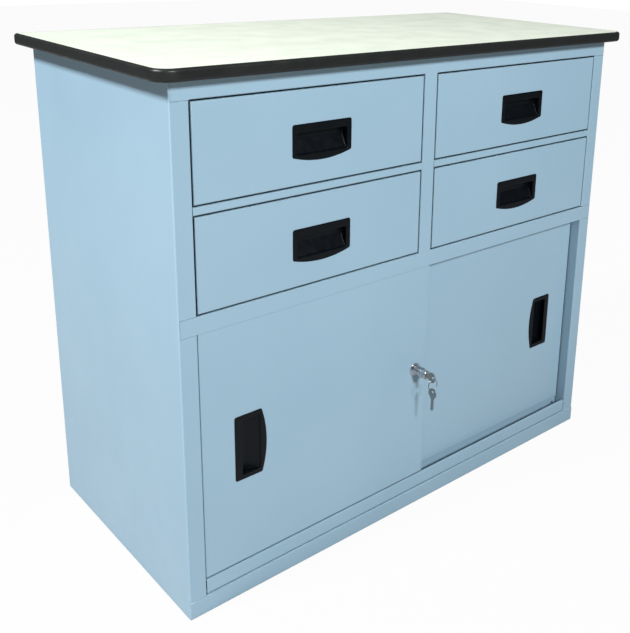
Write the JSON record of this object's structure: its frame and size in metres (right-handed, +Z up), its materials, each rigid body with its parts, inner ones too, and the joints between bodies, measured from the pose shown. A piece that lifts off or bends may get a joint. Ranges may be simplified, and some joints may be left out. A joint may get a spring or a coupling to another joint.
{
  "type": "lockable medicine cabinet",
  "caption": "Counter-height steel medicine cabinet with a laminated worktop, telescopic drawers over two sliding doors and a push lock with keys.",
  "frame": {"origin": "middle of the whole object's footprint, on the floor it stands on", "axes": "+Z up, the drawers, doors and lock face -Y, +X to the right when facing the front"},
  "size_m": [1.058, 0.5485, 0.9],
  "materials": {
    "powder_coat": "semi-gloss light blue powder coat on folded sheet steel",
    "laminate": "pale cream high-pressure laminate, satin",
    "edge_black": "black moulded edge, satin",
    "board": "raw particle board",
    "handle_black": "black moulded plastic, fine grain",
    "zinc_steel": "bright zinc-plated steel",
    "chrome": "polished chrome plate",
    "key_steel": "nickel-plated key blanks, lightly worn",
    "nylon": "natural nylon"
  },
  "bodies": {
    "carcass": {"left_side_panel": "powder_coat", "right_side_panel": "powder_coat", "back_panel": "powder_coat", "bottom_panel": "powder_coat", "plinth": "powder_coat", "bottom_track": "powder_coat", "top_track": "powder_coat", "top_rail": "powder_coat", "mid_rail": "powder_coat", "centre_mullion": "powder_coat", "drawer_rails": "powder_coat", "centre_partition": "powder_coat", "rear_posts": "powder_coat", "dust_panel": "powder_coat", "shelf": "powder_coat", "shelf_clips": "zinc_steel", "worktop_board": "board", "worktop_laminate": "laminate", "worktop_edge": "edge_black", "worktop_screws": "zinc_steel", "fixed_slides": "zinc_steel"},
    "upper_left_drawer": {"upper_left_front": "powder_coat", "upper_left_tray": "powder_coat", "upper_left_handle": "handle_black", "upper_left_slide_inner": "zinc_steel"},
    "upper_left_middle_slides": {"upper_left_slide_middle": "zinc_steel"},
    "upper_right_drawer": {"upper_right_front": "powder_coat", "upper_right_tray": "powder_coat", "upper_right_handle": "handle_black", "upper_right_slide_inner": "zinc_steel"},
    "upper_right_middle_slides": {"upper_right_slide_middle": "zinc_steel"},
    "lower_left_drawer": {"lower_left_front": "powder_coat", "lower_left_tray": "powder_coat", "lower_left_handle": "handle_black", "lower_left_slide_inner": "zinc_steel"},
    "lower_left_middle_slides": {"lower_left_slide_middle": "zinc_steel"},
    "lower_right_drawer": {"lower_right_front": "powder_coat", "lower_right_tray": "powder_coat", "lower_right_handle": "handle_black", "lower_right_slide_inner": "zinc_steel"},
    "lower_right_middle_slides": {"lower_right_slide_middle": "zinc_steel"},
    "left_door": {"left_door_panel": "powder_coat", "left_door_handle": "handle_black", "left_door_axles": "zinc_steel", "lock_body": "chrome", "lock_nut": "zinc_steel", "lock_spring": "zinc_steel"},
    "left_door_roller_a": {"left_door_roller_a": "nylon"},
    "left_door_roller_b": {"left_door_roller_b": "nylon"},
    "right_door": {"right_door_panel": "powder_coat", "right_door_handle": "handle_black", "right_door_axles": "zinc_steel"},
    "right_door_roller_a": {"right_door_roller_a": "nylon"},
    "right_door_roller_b": {"right_door_roller_b": "nylon"},
    "plunger": {"lock_plunger": "chrome"},
    "plug": {"lock_plug": "chrome"},
    "key": {"key": "key_steel"},
    "hanging_keys": {"key_ring": "key_steel", "spare_key": "key_steel"}
  },
  "joints": [
    {"name": "upper_left_drawer_slide", "type": "slide", "parent": "carcass", "child": "upper_left_drawer", "axis": [0, -1, 0], "range_m": [0, 0.38]},
    {"name": "upper_left_middle_slide", "type": "slide", "parent": "carcass", "child": "upper_left_middle_slides", "axis": [0, -1, 0], "range_m": [0, 0.19]},
    {"name": "upper_right_drawer_slide", "type": "slide", "parent": "carcass", "child": "upper_right_drawer", "axis": [0, -1, 0], "range_m": [0, 0.38]},
    {"name": "upper_right_middle_slide", "type": "slide", "parent": "carcass", "child": "upper_right_middle_slides", "axis": [0, -1, 0], "range_m": [0, 0.19]},
    {"name": "lower_left_drawer_slide", "type": "slide", "parent": "carcass", "child": "lower_left_drawer", "axis": [0, -1, 0], "range_m": [0, 0.38]},
    {"name": "lower_left_middle_slide", "type": "slide", "parent": "carcass", "child": "lower_left_middle_slides", "axis": [0, -1, 0], "range_m": [0, 0.19]},
    {"name": "lower_right_drawer_slide", "type": "slide", "parent": "carcass", "child": "lower_right_drawer", "axis": [0, -1, 0], "range_m": [0, 0.38]},
    {"name": "lower_right_middle_slide", "type": "slide", "parent": "carcass", "child": "lower_right_middle_slides", "axis": [0, -1, 0], "range_m": [0, 0.19]},
    {"name": "left_door_slide", "type": "slide", "parent": "carcass", "child": "left_door", "axis": [1, 0, 0], "range_m": [0, 0.449]},
    {"name": "left_door_roller_a_spin", "type": "hinge", "parent": "left_door", "child": "left_door_roller_a", "pos_m": [-0.455, -0.20565, 0.04925], "axis": [0, 1, 0], "continuous": true},
    {"name": "left_door_roller_b_spin", "type": "hinge", "parent": "left_door", "child": "left_door_roller_b", "pos_m": [0.0055, -0.20565, 0.04925], "axis": [0, 1, 0], "continuous": true},
    {"name": "right_door_slide", "type": "slide", "parent": "carcass", "child": "right_door", "axis": [-1, 0, 0], "range_m": [0, 0.436]},
    {"name": "right_door_roller_a_spin", "type": "hinge", "parent": "right_door", "child": "right_door_roller_a", "pos_m": [-0.0185, -0.18715, 0.04925], "axis": [0, -1, 0], "continuous": true},
    {"name": "right_door_roller_b_spin", "type": "hinge", "parent": "right_door", "child": "right_door_roller_b", "pos_m": [0.455, -0.18715, 0.04925], "axis": [0, -1, 0], "continuous": true},
    {"name": "lock_push", "type": "slide", "parent": "left_door", "child": "plunger", "axis": [0, 1, 0], "range_m": [0, 0.012], "stiffness_N_per_m": 400, "springref_m": -0.004, "deforming": ["lock_spring"]},
    {"name": "key_turn", "type": "hinge", "parent": "plunger", "child": "plug", "pos_m": [-0.012, -0.24875, 0.293], "axis": [0, 1, 0], "range_deg": [0, 90]},
    {"name": "key_withdraw", "type": "slide", "parent": "plug", "child": "key", "axis": [0, -1, 0], "range_m": [0, 0.028]},
    {"name": "hanging_keys_swing", "type": "hinge", "parent": "key", "child": "hanging_keys", "pos_m": [-0.012, -0.26425, 0.293], "axis": [1, 0, 0], "range_deg": [-60, 30]}
  ],
  "couplings": [
    {"joint": "upper_left_middle_slide", "follows": "upper_left_drawer_slide", "ratio": 0.5},
    {"joint": "upper_right_middle_slide", "follows": "upper_right_drawer_slide", "ratio": 0.5},
    {"joint": "lower_left_middle_slide", "follows": "lower_left_drawer_slide", "ratio": 0.5},
    {"joint": "lower_right_middle_slide", "follows": "lower_right_drawer_slide", "ratio": 0.5},
    {"joint": "left_door_roller_a_spin", "follows": "left_door_slide", "rad_per_m": 166.67},
    {"joint": "left_door_roller_b_spin", "follows": "left_door_slide", "rad_per_m": 166.67},
    {"joint": "right_door_roller_a_spin", "follows": "right_door_slide", "rad_per_m": 166.67},
    {"joint": "right_door_roller_b_spin", "follows": "right_door_slide", "rad_per_m": 166.67}
  ]
}
